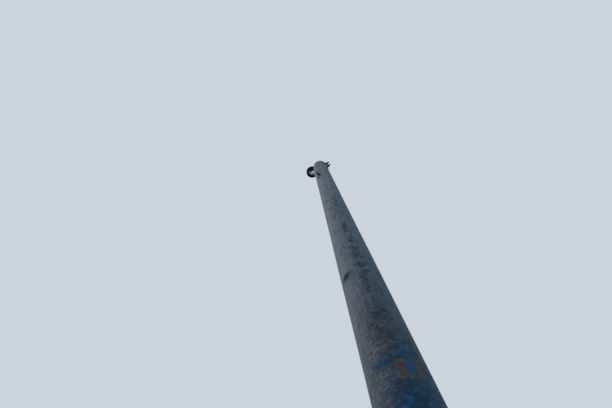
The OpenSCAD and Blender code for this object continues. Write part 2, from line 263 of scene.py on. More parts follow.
# Tones of the bare wood, under and over its bleached parts, as pattern, strength and colour
UNDER_TONES = [
    ("streaks", 0.30, (0.055, 0.077, 0.095)),
    ("broad tone", 0.35, (0.118, 0.148, 0.168)),
    ("warm drifts", 0.36, (0.114, 0.107, 0.100)),
    ("blotches", 0.36, (0.044, 0.060, 0.076)),
    ("specks", 0.20, (0.150, 0.168, 0.180)),
]
OVER_TONES = [
    ("grey drops", 0.46, (0.046, 0.056, 0.066)),
    ("pale drops", 0.40, (0.146, 0.158, 0.166)),
    ("dark drops", 0.34, (0.048, 0.056, 0.064)),
    ("warm drops", 0.50, (0.136, 0.106, 0.106)),
]

# Colours on the wood, in linear light as all colours are
DARK_GRAIN = (0.062, 0.085, 0.105)
PALE_GRAIN = (0.116, 0.152, 0.180)
BLEACHED_WOOD = (0.158, 0.162, 0.160)
CROWN_GREY = (0.186, 0.222, 0.242)
# The next six colours are painted shade and light: bluish shade on the right, shade low down and its
# blotches, light on the lit left, cool shade at the far left edge, and shade in a low band
SHADE_BLUE = (0.020, 0.072, 0.106)
LOW_PAINTED_SHADE = (0.020, 0.031, 0.042)
LOW_SHADE_BLOTCH = (0.030, 0.040, 0.052)
LIT_SIDE_GREY = (0.146, 0.156, 0.178)
FAR_LEFT_SHADE = (0.036, 0.074, 0.102)
LOW_BAND_SHADE = (0.022, 0.029, 0.038)
STAIN = (0.015, 0.029, 0.042)
CROSS_MARK = (0.012, 0.018, 0.026)
RUST_RUN = (0.120, 0.070, 0.044)
THIN_LINE_DARK = (0.020, 0.028, 0.036)
PALE_SCUFF = (0.150, 0.156, 0.166)
DARK_SCUFF = (0.024, 0.031, 0.039)
# Warm scuffs, kept to the left as partly painted warm light
WARM_SCUFF_AND_LIGHT = (0.140, 0.108, 0.106)
# Painted shade inside the hair checks
HAIR_CHECK_SHADE = (0.020, 0.025, 0.031)
CHECK_LIP = (0.022, 0.030, 0.040)
# Painted shade inside the drying checks
CHECK_INSIDE_SHADE = (0.013, 0.018, 0.024)
KNOT_RINGS = (0.046, 0.044, 0.044)
KNOT_RIM = (0.017, 0.027, 0.040)
KNOT_HEART = (0.008, 0.014, 0.024)
DULL_BLUE = (0.002, 0.024, 0.050)
BRIGHT_BLUE = (0.001, 0.056, 0.112)
PAINT_SPOT = (0.060, 0.036, 0.022)
PAINT_STROKE = (0.010, 0.017, 0.025)
OCHRE = (0.110, 0.062, 0.010)
DIRTY_OCHRE = (0.038, 0.031, 0.014)
UPRIGHT_BLUE = (0.0, 0.052, 0.128)
PALE_END_GRAIN = (0.112, 0.122, 0.130)
DARK_END_GRAIN = (0.062, 0.068, 0.074)
END_BLOTCH = (0.055, 0.062, 0.069)
# Painted shade inside the cracks of the sawn top
END_CRACK_SHADE = (0.012, 0.014, 0.016)
SPLASHED_SOIL = (0.040, 0.038, 0.032)

# Colours of the metals and the glaze
DARK_RUST = (0.024, 0.012, 0.008)
BRIGHT_RUST = (0.085, 0.036, 0.016)
METAL_DUST = (0.105, 0.108, 0.106)
LEAD_GREY = (0.120, 0.125, 0.132)
LEAD_BLOOM = (0.300, 0.305, 0.305)
LEAD_SCUFF = (0.060, 0.063, 0.068)
BLACK_GLAZE = (0.0052, 0.0058, 0.0080)
BROWN_GLAZE = (0.0165, 0.0092, 0.0078)
GLAZE_SPECK = (0.060, 0.030, 0.018)
GLAZE_DUST = (0.080, 0.079, 0.076)
# Pale unglazed porcelain, kept to one side of the bell as a painted highlight
BARE_PORCELAIN_HIGHLIGHT = (0.390, 0.400, 0.400)

# Zinc finishes, as bright colour, dull colour, rust, seed and dust
ZINC_FINISHES = {
    "galvanised_steel": ((0.40, 0.43, 0.45), (0.27, 0.29, 0.31), 0.08, 1.0, 0.35),
    "weathered_galvanised": ((0.100, 0.116, 0.130), (0.055, 0.065, 0.075), 0.18, 2.0, 0.30),
    # The darkest zinc, given to the bolts, nuts and threads
    "rusty_galvanised": ((0.030, 0.034, 0.042), (0.012, 0.015, 0.020), 0.15, 3.0, 0.15),
}

# The studio, with each lamp as energy, spread, colour, turn from the viewer and rise
AMBIENT = (0.49, 0.56, 0.65)
BACKDROP = (0.60, 0.66, 0.71)
BACKDROP_RAYS = ("Is Camera Ray", "Is Glossy Ray", "Is Transmission Ray")
PALE_FLOOR = (0.72, 0.74, 0.76)
FLOOR_SIZE = 400.0
LAMPS = {
    "key": (2.1, 35.0, (0.95, 0.98, 0.99), -75.0, 0.5),
    "fill": (0.9, 60.0, (0.36, 0.72, 1.0), 80.0, 0.3),
}

# How far one seed shifts a pattern along X, Y and Z
SEED_STEPS = (7.3, 3.1, 5.7)

# On a smooth piece, how near points are joined and how far an edge may turn before it stays sharp
SEAM_GAP = 0.00001
CREASE = 32.0


class Formula:
    """A socket of a node tree that can stand in plain arithmetic."""

    def __init__(self, tree, socket):
        self.tree = tree
        self.socket = socket

    def calc(self, operation, *others):
        """One Math node, with this value first."""
        node = self.tree.nodes.new("ShaderNodeMath")
        node.operation = operation
        for value, slot in zip((self, *others), node.inputs):
            plug(self.tree, value, slot)
        return Formula(self.tree, node.outputs[0])

    def __add__(self, other):
        return self.calc("ADD", other)

    def __sub__(self, other):
        return self.calc("SUBTRACT", other)

    def __mul__(self, other):
        return self.calc("MULTIPLY", other)

    def __truediv__(self, other):
        return self.calc("DIVIDE", other)

    def __rsub__(self, other):
        return self * -1.0 + other

    def __rtruediv__(self, other):
        return self.calc("POWER", -1.0) * other


def plug(tree, value, slot):
    """Links a formula to an input, or writes a plain value there."""
    if isinstance(value, Formula):
        tree.links.new(value.socket, slot)
    elif slot.type == "RGBA":
        slot.default_value = (*value, 1.0) if len(value) == 3 else value
    else:
        slot.default_value = value


class Wiring:
    """A node tree in the making, for geometry or for a material."""

    def __init__(self, tree):
        self.tree = tree

    def node(self, kind, settings=None, **values):
        """A node with its settings and inputs; an input is named in plain words with underscores."""
        node = self.tree.nodes.new(kind)
        for name, value in (settings or {}).items():
            setattr(node, name, value)
        for name, value in values.items():
            plug(self.tree, value, self.free_input(node, name.replace("_", " ")))
        return node

    def free_input(self, node, name):
        """The enabled input of that name."""
        for slot in node.inputs:
            if slot.enabled and slot.name.lower() == name.lower():
                return slot
        raise KeyError(f"{node.bl_idname} has no input {name}")

    def get(self, node, name=None):
        """A node's enabled output as a formula."""
        for slot in node.outputs:
            if slot.enabled and (name is None or slot.name == name):
                return Formula(self.tree, slot)
        raise KeyError(f"{node.bl_idname} has no output {name}")

    def given(self, name):
        """An input of the group."""
        if not hasattr(self, "source"):
            self.source = self.tree.nodes.new("NodeGroupInput")
        return Formula(self.tree, self.source.outputs[name])

    def hand_out(self, **values):
        """Links the group's outputs; an output is named in plain words with underscores."""
        sink = self.tree.nodes.new("NodeGroupOutput")
        for name, value in values.items():
            plug(self.tree, value, sink.inputs[name.replace("_", " ")])

    def use(self, group, **values):
        """A node that runs a group with these inputs."""
        kind = "GeometryNodeGroup" if group.bl_idname == "GeometryNodeTree" else "ShaderNodeGroup"
        node = self.tree.nodes.new(kind)
        node.node_tree = group
        for name, value in values.items():
            plug(self.tree, value, node.inputs[name.replace("_", " ")])
        return node

    def ramp(self, value, low, high, start=0.0, end=1.0, smooth=True):
        """Goes from start to end as the value goes from low to high, and stays there outside."""
        node = self.node(
            "ShaderNodeMapRange",
            {"interpolation_type": "SMOOTHSTEP" if smooth else "LINEAR", "clamp": True},
            Value=value,
            From_Min=low,
            From_Max=high,
            To_Min=start,
            To_Max=end,
        )
        return self.get(node, "Result")

    def parts(self, vector):
        """The X, Y and Z of a vector."""
        node = self.node("ShaderNodeSeparateXYZ", Vector=vector)
        return [Formula(self.tree, slot) for slot in node.outputs]

    def vector(self, x=0.0, y=0.0, z=0.0):
        """A vector from three values."""
        return self.get(self.node("ShaderNodeCombineXYZ", X=x, Y=y, Z=z))

    def swung(self, angle, out, level):
        """The place at an angle in radians about the axis, a distance out from it and a level."""
        return self.vector(angle.calc("COSINE") * out, angle.calc("SINE") * out, level)

    def stretched(self, place, across, along=None, seed=0.0):
        """A place counted in a pattern's own lengths across and along, shifted by its seed."""
        along = across if along is None else along
        node = self.node("ShaderNodeVectorMath", {"operation": "MULTIPLY_ADD"})
        scale = self.vector(1.0 / across, 1.0 / across, 1.0 / along)
        shift = self.vector(*(seed * step for step in SEED_STEPS))
        for value, slot in zip((place, scale, shift), node.inputs):
            plug(self.tree, value, slot)
        return self.get(node, "Vector")

    def noise(self, place, across, along=None, seed=0.0, detail=2.0, rough=0.5):
        """Smooth noise about 0.5, in patches of these lengths."""
        node = self.node(
            "ShaderNodeTexNoise",
            Vector=self.stretched(place, across, along, seed),
            Scale=1.0,
            Detail=detail,
            Roughness=rough,
        )
        return self.get(node, "Fac")

    def mix(self, factor, low, high):
        """A colour between two colours."""
        node = self.tree.nodes.new("ShaderNodeMix")
        node.data_type = "RGBA"
        slots = [s for s in node.inputs if s.enabled]
        for value, slot in zip((factor, low, high), slots):
            plug(self.tree, value, slot)
        return self.get(node, "Result")

    def fold(self, operation, values):
        """One value from several, by an operation on two at a time."""
        result = values[0]
        for value in values[1:]:
            result = result.calc(operation, value)
        return result


def new_group(name, kind, inputs, outputs):
    """An empty node group with named sockets; inputs are name, socket type and default value."""
    tree = bpy.data.node_groups.new(name, kind)
    for label, socket_type, default in inputs:
        slot = tree.interface.new_socket(label, in_out="INPUT", socket_type=socket_type)
        if default is not None:
            slot.default_value = default
    for label, socket_type in outputs:
        tree.interface.new_socket(label, in_out="OUTPUT", socket_type=socket_type)
    return Wiring(tree)


def numbers(**defaults):
    """Rows of plain number inputs for a group, named in plain words with underscores."""
    return [(name.replace("_", " "), "NodeSocketFloat", value) for name, value in defaults.items()]


def grown(name, group, **values):
    """An object whose mesh a geometry tree has made, with the tree gone."""
    holder = bpy.data.objects.new(name, bpy.data.meshes.new(name))
    bpy.context.scene.collection.objects.link(holder)
    modifier = holder.modifiers.new("grow", "NODES")
    modifier.node_group = group
    for slot in group.interface.items_tree:
        label = slot.name.replace(" ", "_")
        if slot.item_type == "SOCKET" and slot.in_out == "INPUT" and label in values:
            modifier[slot.identifier] = values[label]
    bpy.context.view_layer.update()
    depsgraph = bpy.context.evaluated_depsgraph_get()
    mesh = bpy.data.meshes.new_from_object(holder.evaluated_get(depsgraph))
    holder.modifiers.remove(modifier)
    holder.data = mesh
    mesh.name = name
    return holder


def wrapped_turn(turn, centre):
    """Degrees from a centre turn, between -180 and 180."""
    return (turn - centre).calc("WRAP", 180.0, -180.0)


def diagonal(across, along):
    """The straight distance to a place that lies so far across and so far along."""
    return (across * across + along * along).calc("SQRT")


# What each group that looks at one mark on the log is given
PLACE_INPUTS = numbers(Turn=0.0, Height=0.0, Radius=0.1, Centre=0.0)
PATCH_INPUTS = PLACE_INPUTS + numbers(Middle=1.0, Half_Width=0.02, Half_Length=0.03)


def way_round(wires):
    """How far round the log, in metres, the place is from the group's mark."""
    turn = wrapped_turn(wires.given("Turn"), wires.given("Centre"))
    return turn.calc("RADIANS") * wires.given("Radius")


def check_group():
    """How deep and how near a drying check is at a place on the log."""
    wires = new_group(
        "drying check",
        "GeometryNodeTree",
        PLACE_INPUTS + numbers(Low=1.0, High=2.0, Half_Width=0.004, Depth=CHECK_DEPTH),
        [("Hollow", "NodeSocketFloat"), ("Distance", "NodeSocketFloat")],
    )
    height = wires.given("Height")
    low = wires.given("Low")
    high = wires.given("High")
    end_power = 0.45
    wall_power = 0.7
    least_width = 0.0002
    out_of_reach = 0.02
    # The check narrows towards both ends, and opens and closes raggedly between them
    along = (height - low) / (high - low)
    opening = (1.0 - (along * 2.0 - 1.0).calc("ABSOLUTE")).calc("MAXIMUM", 0.0)
    ragged = wires.noise(wires.vector(0.0, 0.0, height), *NOISES["ragged checks"])
    opening = opening.calc("POWER", end_power) * wires.ramp(ragged, 0.40, 0.62, 0.0, 1.15)
    distance = way_round(wires).calc("ABSOLUTE")
    width = wires.given("Half Width") * opening
    share = (1.0 - distance / width.calc("MAXIMUM", least_width)).calc("MAXIMUM", 0.0)
    wires.hand_out(
        Hollow=share.calc("POWER", wall_power) * opening * wires.given("Depth"),
        Distance=distance + (1.0 - opening.calc("MINIMUM", 1.0)) * out_of_reach,
    )
    return wires.tree


def patch_distance(wires):
    """How far the place is from the group's patch, in the patch's half widths and half lengths."""
    across = way_round(wires) / wires.given("Half Width")
    along = (wires.given("Height") - wires.given("Middle")) / wires.given("Half Length")
    return diagonal(across, along)


def patch_group():
    """How strong a patch of stain or paint is at a place on the log."""
    wires = new_group(
        "patch on the log",
        "GeometryNodeTree",
        PATCH_INPUTS + numbers(Strength=1.0),
        [("Field", "NodeSocketFloat")],
    )
    fade = wires.ramp(patch_distance(wires), 0.35, 1.65, 1.0, 0.0)
    wires.hand_out(Field=fade * wires.given("Strength"))
    return wires.tree


def knot_group():
    """How much a knot swells and sinks the log at a place, and how many knots away it is."""
    wires = new_group(
        "knot",
        "GeometryNodeTree",
        PATCH_INPUTS,
        [("Swell", "NodeSocketFloat"), ("Distance", "NodeSocketFloat")],
    )
    rise_share = 0.16
    dip_share = 0.26
    distance = patch_distance(wires)
    rise = wires.ramp(distance, 0.6, 2.6, 1.0, 0.0)
    dip = wires.ramp(distance, 0.0, 1.0, 1.0, 0.0)
    swell = (rise * rise_share - dip * dip_share) * wires.given("Half Width")
    wires.hand_out(Swell=swell, Distance=distance)
    return wires.tree


def store(wires, geometry, name, kind, value):
    """Geometry with a named value on each of its points."""
    stored = wires.node(
        "GeometryNodeStoreNamedAttribute",
        {"data_type": kind, "domain": "POINT"},
        Geometry=geometry,
        Name=name,
        Value=value,
    )
    return wires.get(stored, "Geometry")


class LogShape:
    """The whole log as a geometry tree: a grid wrapped round the axis, with its checks and knots."""

    def __init__(self):
        self.wires = new_group(
            "weathered log",
            "GeometryNodeTree",
            numbers(Height=7.5, Ground_Radius=0.115, Top_Radius=TOP_RADIUS, Worn_Edge=TOP_EDGE)
            + numbers(Check_Depth=CHECK_DEPTH, Flute=FLUTE_DEPTH)
            + [("Columns", "NodeSocketInt", LOG_COLUMNS), ("Rows", "NodeSocketInt", LOG_ROWS)],
            [("Geometry", "NodeSocketGeometry")],
        )
        self.height = self.wires.given("Height")
        self.wrap_grid()
        self.find_checks()
        self.find_knots()

    def wrap_grid(self):
        """Turns the grid's columns into bearings, and its rows into ends, side and worn edge."""
        wires = self.wires
        edge = wires.given("Worn Edge")
        rows = wires.given("Rows")
        grid = wires.node(
            "GeometryNodeMeshGrid",
            Size_X=1.0,
            Size_Y=1.0,
            Vertices_X=wires.given("Columns") + 1,
            Vertices_Y=rows + 1,
        )
        self.mesh = wires.get(grid, "Mesh")
        grid_x, grid_y, _ = wires.parts(wires.get(wires.tree.nodes.new("GeometryNodeInputPosition")))

        # Columns crowd towards each check, so that its edges are sharp
        turn = grid_x * 360.0 + VIEWER_TURN
        crowd = 0.62
        crowd_reach = 9.0
        shift = 0.0
        for check_turn, _, _, _ in CHECKS:
            away = wrapped_turn(turn, check_turn)
            near = (away / crowd_reach * (away / crowd_reach) * -1.0).calc("EXPONENT")
            shift = away * near * crowd + shift
        self.turn = turn - shift

        # Rows run from the middle of the bottom face to the middle of the top face
        row = (grid_y + 0.5) * rows
        bottom_rows = 2.0
        edge_rows = 4.0
        top_rows = 12.0
        side_end = rows - edge_rows - top_rows
        edge_end = rows - top_rows
        rise = wires.ramp(row, bottom_rows, side_end, smooth=False) * (self.height - edge)
        bend = wires.ramp(row, side_end, edge_end, smooth=False) * (math.pi / 2)
        inward = wires.ramp(row, edge_end, rows, 1.0, 0.0, smooth=False)
        self.inward = inward * wires.ramp(row, 0.0, bottom_rows, smooth=False)
        self.level = rise + bend.calc("SINE") * edge
        ground_radius = wires.given("Ground Radius")
        taper = ground_radius - (ground_radius - wires.given("Top Radius")) * (self.level / self.height)
        self.radius = taper - edge * (1.0 - bend.calc("COSINE"))

        # The straight place on the cone, which the material's patterns follow
        out = self.radius * self.inward
        self.straight = wires.swung(self.turn.calc("RADIANS"), out, self.level)

    def find_checks(self):
        """How far the drying checks sink the side, and how far the nearest one is."""
        wires = self.wires
        check = check_group()
        used = [
            wires.use(
                check,
                Turn=self.turn,
                Height=self.level,
                Radius=self.radius,
                Centre=check_turn,
                Low=low,
                High=high,
                Half_Width=half_width,
                Depth=wires.given("Check Depth"),
            )
            for check_turn, low, high, half_width in CHECKS
        ]
        self.hollow = wires.fold("ADD", [wires.get(node, "Hollow") for node in used])
        self.check_distance = wires.fold("MINIMUM", [wires.get(node, "Distance") for node in used])

    def find_knots(self):
        """How far the knots swell the side, and how far the nearest one is."""
        wires = self.wires
        knot = knot_group()
        used = [self.on_patch(knot, *spot) for spot in KNOTS]
        self.swell = wires.fold("ADD", [wires.get(node, "Swell") for node in used])
        self.knot_distance = wires.fold("MINIMUM", [wires.get(node, "Distance") for node in used])

    def on_patch(self, group, turn, drop, half_width, half_length, **more):
        """A group that looks at one patch, given by its turn from the viewer and its drop."""
        return self.wires.use(
            group,
            Turn=self.turn,
            Height=self.level,
            Radius=self.radius,
            Centre=VIEWER_TURN + turn,
            Middle=self.height - drop,
            Half_Width=half_width,
            Half_Length=half_length,
            **more,
        )

    def patches(self, group, rows):
        """The strongest of several patches at each place."""
        used = [self.on_patch(group, *spot, Strength=strength) for *spot, strength in rows]
        return self.wires.fold("MAXIMUM", [self.wires.get(node, "Field") for node in used])

    def bent_place(self):
        """Where each point goes, once the surface has weathered and the grain wandered."""
        wires = self.wires
        height = self.height
        level = self.level
        # The surface is lowest where the grain has weathered out, never stands past its seats, and is
        # calmer under the hardware at the top
        flute = wires.noise(self.straight, *NOISES["flutes"])
        dent = wires.noise(self.straight, *NOISES["dents"])
        calm = wires.ramp(level, height - 0.42, height - 0.30, 1.0, 0.25)
        sink = (flute * wires.given("Flute") + dent * DENT_DEPTH) * calm
        on_side = wires.ramp(self.inward, 0.985, 1.0)
        out = self.radius * self.inward - (sink + self.hollow - self.swell) * on_side
        on_top = wires.ramp(level, height * 0.5, height * 0.6)
        self.end_face = (1.0 - on_side) * on_top
        end_sink = wires.noise(self.straight, *NOISES["end grain"]) * self.end_face * END_GRAIN_DEPTH
        # The grain wanders a little from side to side, and takes checks and knots with it
        along = wires.vector(0.0, 0.0, level)
        wander = (wires.noise(along, *NOISES["wander"]) - 0.5) * WANDER
        weave = (wires.noise(along, *NOISES["weave"]) - 0.5) * WEAVE
        still_top = wires.ramp(level, height - 0.9, height - 0.2, 1.0, 0.0)
        spin = self.turn.calc("RADIANS") + (wander + weave) * still_top
        return wires.swung(spin, out, level - end_sink)

    def finish(self, wood):
        """The tree, ending in a smooth closed mesh in its material."""
        wires = self.wires
        place = self.bent_place()
        patch = patch_group()
        geometry = store(wires, self.mesh, "straight", "FLOAT_VECTOR", self.straight)
        for name, value in (
            ("end_face", self.end_face),
            ("check_distance", self.check_distance),
            ("knot_distance", self.knot_distance),
            ("stains", self.patches(patch, STAINS)),
            ("rust_marks", self.patches(patch, RUST_MARKS)),
            ("cross_marks", self.patches(patch, CROSS_MARKS)),
            ("blue_paint", self.patches(patch, BLUE_PAINT)),
        ):
            geometry = store(wires, geometry, name, "FLOAT", value)
        moved = wires.node("GeometryNodeSetPosition", Geometry=geometry, Position=place)
        merged = wires.node("GeometryNodeMergeByDistance", Geometry=wires.get(moved), Distance=0.00002)
        smooth = wires.node("GeometryNodeSetShadeSmooth", Geometry=wires.get(merged), Shade_Smooth=True)
        real = wires.node("GeometryNodeRealizeInstances", Geometry=wires.get(smooth))
        painted = wires.node("GeometryNodeSetMaterial", Geometry=wires.get(real), Material=wood)
        wires.hand_out(Geometry=wires.get(painted))
        return wires.tree


def mottle_group():
    """Patches of noise at a length across and a length along, from none to full between two levels."""
    wires = new_group(
        "mottle",
        "ShaderNodeTree",
        [("Place", "NodeSocketVector", None)]
        + numbers(Across=0.01, Along=0.1, Low=0.4, High=0.6, Seed=0.0, Detail=2.0),
        [("Mask", "NodeSocketFloat")],
    )
    value = wires.noise(
        wires.given("Place"),
        wires.given("Across"),
        wires.given("Along"),
        seed=wires.given("Seed"),
        detail=wires.given("Detail"),
        rough=0.6,
    )
    wires.hand_out(Mask=wires.ramp(value, wires.given("Low"), wires.given("High")))
    return wires.tree


def attribute(wires, name, output="Fac"):
    """A named value stored on the mesh."""
    return wires.get(wires.node("ShaderNodeAttribute", {"attribute_name": name}), output)


def new_material(name):
    """A material with its wiring and its shader."""
    material = bpy.data.materials.new(name)
    material.use_nodes = True
    return material, Wiring(material.node_tree), material.node_tree.nodes["Principled BSDF"]


def surface(wires, shader, colour, rough, height, strength=0.8):
    """Gives the shader a finish's colour, its roughness and its relief in metres."""
    plug(wires.tree, colour, shader.inputs["Base Color"])
    plug(wires.tree, rough, shader.inputs["Roughness"])
    bump = wires.node("ShaderNodeBump", Strength=strength, Distance=1.0, Height=height)
    plug(wires.tree, wires.get(bump, "Normal"), shader.inputs["Normal"])


class WoodFinish:
    """Colour, roughness and relief of the weathered log, laid on in layers."""

    def __init__(self):
        self.material, self.wires, self.shader = new_material("weathered_wood")
        self.place = attribute(self.wires, "straight", "Vector")
        self.x, self.y, self.level = self.wires.parts(self.place)
        self.core = diagonal(self.x, self.y)
        self.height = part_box("pole_shaft")[1].z
        self.end_face = attribute(self.wires, "end_face")
        self.cross_marks = attribute(self.wires, "cross_marks")
        self.made_patterns = {}
        self.grain = self.pattern("grain")
        self.tone = self.pattern("broad tone")
        self.blotch = self.pattern("blotches")
        self.speck = self.pattern("specks")
        self.ragged = self.blotch * 0.65 + self.speck * 0.35 - 0.5

    def pattern(self, name, place=None):
        """One of the wood's patterns, made once, on the log or at another place."""
        if name not in self.made_patterns:
            across, along, low, high, seed, detail = PATTERNS[name]
            used = self.wires.use(
                mottle_patches,
                Place=place or self.place,
                Across=across,
                Along=along,
                Low=low,
                High=high,
                Seed=seed,
                Detail=detail,
            )
            self.made_patterns[name] = self.wires.get(used)
        return self.made_patterns[name]

    def lay(self, mask, colour):
        """A layer of colour over what is there."""
        self.colour = self.wires.mix(mask, self.colour, colour)

    def lay_tones(self, tones):
        """A layer for each row of a table of tones."""
        for name, strength, colour in tones:
            self.lay(self.pattern(name) * strength, colour)

    def from_turn(self, turn):
        """How far out towards a turn from the viewer each place is, and how far to its right."""
        bearing = math.radians(VIEWER_TURN + turn)
        out = self.x * math.cos(bearing) + self.y * math.sin(bearing)
        return out, self.y * math.cos(bearing) - self.x * math.sin(bearing)

    def facing(self, side):
        """How squarely each place faces one of the log's sides, from none to full."""
        turn, low, high = SIDES[side]
        out, _ = self.from_turn(turn)
        return self.wires.ramp(out / self.core + self.ragged * 0.3, low, high)

    def slanted(self, slope):
        """The place on the log, sheared so that level strokes climb towards the viewer's right."""
        _, sideways = self.from_turn(0.0)
        return self.wires.vector(self.x, self.y, self.level - sideways * slope)

    def cracks(self, place, name, thin, wide):
        """Lines where a noise crosses its middle, full below one width and gone at another."""
        off_middle = (self.wires.noise(place, *NOISES[name]) - 0.5).calc("ABSOLUTE")
        return self.wires.ramp(off_middle, thin, wide, 1.0, 0.0)

    def box(self, turn, drop, half_width, half_height):
        """How far a place is from an upright box on the side, with 1 at the box's edges."""
        far_off = 9.0
        out, sideways = self.from_turn(turn)
        upwards = self.level - (self.height - drop)
        behind = self.wires.ramp(out, 0.0, 0.02, far_off, 0.0)
        across = (sideways / half_width).calc("ABSOLUTE")
        along = (upwards / half_height).calc("ABSOLUTE")
        return across.calc("MAXIMUM", along) + behind

    def low_down(self, stretch):
        """Grows from none to full along one of the log's stretches."""
        drop = self.height - self.level + (self.tone - 0.5) * 0.35
        return self.wires.ramp(drop, *STRETCHES[stretch], smooth=False)

    def bare_wood(self):
        """Silver grey wood with its grain, broad tones and mottling."""
        self.colour = self.wires.mix(self.grain, DARK_GRAIN, PALE_GRAIN)
        self.lay_tones(UNDER_TONES)
        bleached = self.pattern("bleaching") * (1.0 - self.low_down("below the bleached wood"))
        self.lay(bleached * 0.55, BLEACHED_WOOD)
        crown = self.facing("crown") * (1.0 - self.low_down("below the crown"))
        self.lay(crown * 0.62, CROWN_GREY)
        self.lay_tones(OVER_TONES)

    def painted_shade_and_light(self):
        """Painted shade low down and on the right, painted light on the left, and painted cool shade at
        the far left edge.
        """
        low_shade = self.low_down("low_shade")
        self.lay(self.facing("shade") * 0.46, SHADE_BLUE)
        # Painted shade on the lower shaft, strongest on its right, and patchy with blotches
        self.lay(low_shade * (self.facing("lee") * 0.30 + 0.36), LOW_PAINTED_SHADE)
        self.lay(self.blotch * low_shade * 0.25, LOW_SHADE_BLOTCH)
        # Painted light on the left, the side that the key lamp lights
        self.lay(self.facing("weather") * (0.27 - low_shade * 0.13), LIT_SIDE_GREY)
        # Painted cool shade along the far left edge
        self.lay(self.facing("far left") * 0.70, FAR_LEFT_SHADE)
        # Painted shade in patches, in a band low down
        patchy = self.wires.ramp(self.ragged, -0.5, 0.5, 0.26, 0.58)
        self.lay(self.low_down("shaded_band") * patchy, LOW_BAND_SHADE)

    def stains(self):
        """Weather stains, cross marks, run-offs of rust and a thin dark line round the front."""
        wires = self.wires
        tatters = self.pattern("tatters") - 0.5
        stain = attribute(wires, "stains") + tatters * 0.62 + self.ragged * 0.50
        self.lay(wires.ramp(stain, 0.34, 0.92) * 0.84, STAIN)
        self.crossed = self.cross_marks * self.pattern("dashes")
        self.lay(self.crossed, CROSS_MARK)
        runs = self.pattern("rust runs") - 0.5
        rust = attribute(wires, "rust_marks") + runs * 0.7 + self.ragged * 0.3
        self.lay(wires.ramp(rust, 0.30, 0.85) * 0.75, RUST_RUN)
        # A thin dark line round the front
        dark_line_mask = self.box(*THIN_DARK_LINE) + self.ragged
        self.lay(wires.ramp(dark_line_mask, 0.4, 1.8, 0.42, 0.0), THIN_LINE_DARK)

    def scuffs(self):
        """Pale and dark scuffs that cross the grain at a slant, and warm ones on the left, which are
        partly painted warm light.
        """
        scuffed = self.low_down("scuffed")
        pale = self.pattern("pale scuffs", self.slanted(0.9)) * self.pattern("scuff clusters")
        self.lay(pale * scuffed * 0.58, PALE_SCUFF)
        dark = self.pattern("dark scuffs", self.slanted(-0.5))
        self.lay(dark * scuffed * 0.52, DARK_SCUFF)
        # The warm scuffs are kept to the left, where they are partly painted warm light
        warm = self.pattern("warm scuffs") * self.facing("warm")
        self.lay(warm * scuffed * 0.44, WARM_SCUFF_AND_LIGHT)

    def hair_checks(self):
        """Fine cracks that run with the grain, painted dark inside as shade, and end below the worn edge.
        """
        wires = self.wires
        hair = self.cracks(self.place, "hair checks", 0.004, 0.018)
        below_edge = wires.ramp(self.level, self.height - 0.030, self.height - 0.010, 1.0, 0.0)
        self.hair = hair * self.pattern("hair clusters") * below_edge
        # The cracks are painted dark as shade inside them
        self.lay(self.hair * 0.50, HAIR_CHECK_SHADE)

    def large_checks(self):
        """The drying checks are painted dark inside as shade, with a stained lip."""
        wires = self.wires
        check = attribute(wires, "check_distance")
        lip = wires.ramp(check + self.ragged * 0.022, 0.001, 0.015, 0.40, 0.0)
        self.lay(lip, CHECK_LIP)
        # Painted shade inside the check
        self.lay(wires.ramp(check, 0.0003, 0.0018, 0.46, 0.0), CHECK_INSIDE_SHADE)

    def knots(self):
        """A knot has a dark heart, rings round it and a stained rim."""
        wires = self.wires
        knot = attribute(wires, "knot_distance") + self.ragged * 0.45 + (self.grain - 0.5) * 0.15
        rings = wires.ramp((knot * 14.0).calc("SINE"), -0.2, 0.9)
        self.lay(rings * wires.ramp(knot, 0.9, 1.9, 1.0, 0.0) * 0.30, KNOT_RINGS)
        self.lay(wires.ramp(knot, 0.70, 1.30, 0.84, 0.0), KNOT_RIM)
        self.lay(wires.ramp(knot, 0.20, 0.80, 0.82, 0.0), KNOT_HEART)

    def old_paint(self):
        """Worn blue patches, and an ochre block with a plain blue upright."""
        wires = self.wires
        wear = self.pattern("wear") * 0.45 + self.speck * 0.35 + self.blotch * 0.20
        worn = wear - 0.5
        self.paint = wires.ramp(attribute(wires, "blue_paint") - worn * 0.85, 0.36, 0.62) * 0.97
        self.lay(self.paint, wires.mix(self.pattern("bright paint"), DULL_BLUE, BRIGHT_BLUE))
        self.lay(self.paint * self.pattern("paint spots") * 0.42, PAINT_SPOT)
        self.lay(self.cross_marks * self.pattern("paint strokes") * 0.95, PAINT_STROKE)
        # The block is chipped all over, and rubbed thin at its right
        rubbed = wires.ramp(self.box(*RUBBED_BAND) + self.ragged * 0.4, 0.75, 1.15, 0.62, 1.0)
        left_on = wires.ramp(wear, 0.34, 0.74, 0.94, 0.30) * rubbed
        block = wires.ramp(self.box(*OCHRE_BLOCK) + worn * 0.30, 0.84, 1.08, 1.0, 0.0)
        self.lay(block * left_on, wires.mix(self.blotch, OCHRE, DIRTY_OCHRE))
        upright = wires.ramp(self.box(*BLUE_UPRIGHT) + worn * 0.40, 0.88, 1.10, 0.97, 0.0)
        self.lay(upright * (left_on * 0.4 + 0.6), UPRIGHT_BLUE)

